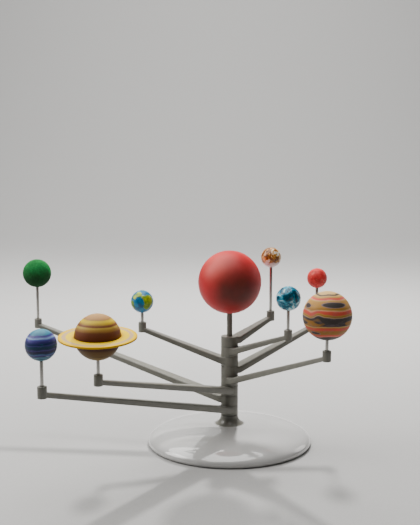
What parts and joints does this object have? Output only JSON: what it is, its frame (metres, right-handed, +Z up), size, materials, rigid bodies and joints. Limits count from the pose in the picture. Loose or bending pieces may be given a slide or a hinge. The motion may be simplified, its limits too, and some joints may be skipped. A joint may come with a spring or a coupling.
{
  "type": "desk orrery",
  "caption": "Desk orrery: a red Sun on a spindle above a domed round base, with painted planets on rods at the ends of arms that turn about the spindle.",
  "frame": {"origin": "on the spindle's axis, in the plane that the base stands on", "axes": "+Z up along the spindle; +X and +Y across the base, with the arms at rest in their stored turns"},
  "size_m": [0.1996, 0.187, 0.1183],
  "materials": {
    "base": "glossy white moulding",
    "plate": "matt dark grey moulding",
    "arm": "semi-gloss warm grey moulding",
    "steel": "drawn bright steel",
    "sun": "matt red paint on a foam ball",
    "mercury": "white and golden-brown marbled paint",
    "venus": "teal paint with white swirls",
    "earth": "blue paint with raised yellow-green land",
    "mars": "red paint with lighter specks",
    "jupiter": "ochre, cream, coral and grey-brown bands of paint",
    "saturn": "tan, yellow and maroon bands of paint",
    "saturn_ring": "yellow plastic with a painted beige band",
    "uranus": "matt green paint on a grained foam ball",
    "neptune": "blue-violet, pale blue and white streaked paint"
  },
  "bodies": {
    "stand": {"base_shell": "base", "base_plate": "plate", "spindle": "arm", "spindle_washer": "steel", "spindle_screw": "steel", "sun_ball": "sun"},
    "mercury_orbit": {"mercury_arm": "arm", "mercury_rod": "steel", "mercury_ball": "mercury"},
    "venus_orbit": {"venus_arm": "arm", "venus_rod": "steel", "venus_ball": "venus"},
    "earth_orbit": {"earth_arm": "arm", "earth_rod": "steel", "earth_ball": "earth"},
    "mars_orbit": {"mars_arm": "arm", "mars_rod": "steel", "mars_ball": "mars"},
    "jupiter_orbit": {"jupiter_arm": "arm", "jupiter_rod": "steel", "jupiter_ball": "jupiter"},
    "saturn_orbit": {"saturn_arm": "arm", "saturn_rod": "steel", "saturn_ball": "saturn", "saturn_ring": "saturn_ring"},
    "uranus_orbit": {"uranus_arm": "arm", "uranus_rod": "steel", "uranus_ball": "uranus"},
    "neptune_orbit": {"neptune_arm": "arm", "neptune_rod": "steel", "neptune_ball": "neptune"}
  },
  "joints": [
    {"name": "mercury_turn", "type": "hinge", "parent": "stand", "child": "mercury_orbit", "pos_m": [0, 0, 0], "axis": [0, 0, 1], "continuous": true},
    {"name": "venus_turn", "type": "hinge", "parent": "stand", "child": "venus_orbit", "pos_m": [0, 0, 0], "axis": [0, 0, 1], "continuous": true},
    {"name": "earth_turn", "type": "hinge", "parent": "stand", "child": "earth_orbit", "pos_m": [0, 0, 0], "axis": [0, 0, 1], "continuous": true},
    {"name": "mars_turn", "type": "hinge", "parent": "stand", "child": "mars_orbit", "pos_m": [0, 0, 0], "axis": [0, 0, 1], "continuous": true},
    {"name": "jupiter_turn", "type": "hinge", "parent": "stand", "child": "jupiter_orbit", "pos_m": [0, 0, 0], "axis": [0, 0, 1], "continuous": true},
    {"name": "saturn_turn", "type": "hinge", "parent": "stand", "child": "saturn_orbit", "pos_m": [0, 0, 0], "axis": [0, 0, 1], "continuous": true},
    {"name": "uranus_turn", "type": "hinge", "parent": "stand", "child": "uranus_orbit", "pos_m": [0, 0, 0], "axis": [0, 0, 1], "continuous": true},
    {"name": "neptune_turn", "type": "hinge", "parent": "stand", "child": "neptune_orbit", "pos_m": [0, 0, 0], "axis": [0, 0, 1], "continuous": true}
  ]
}
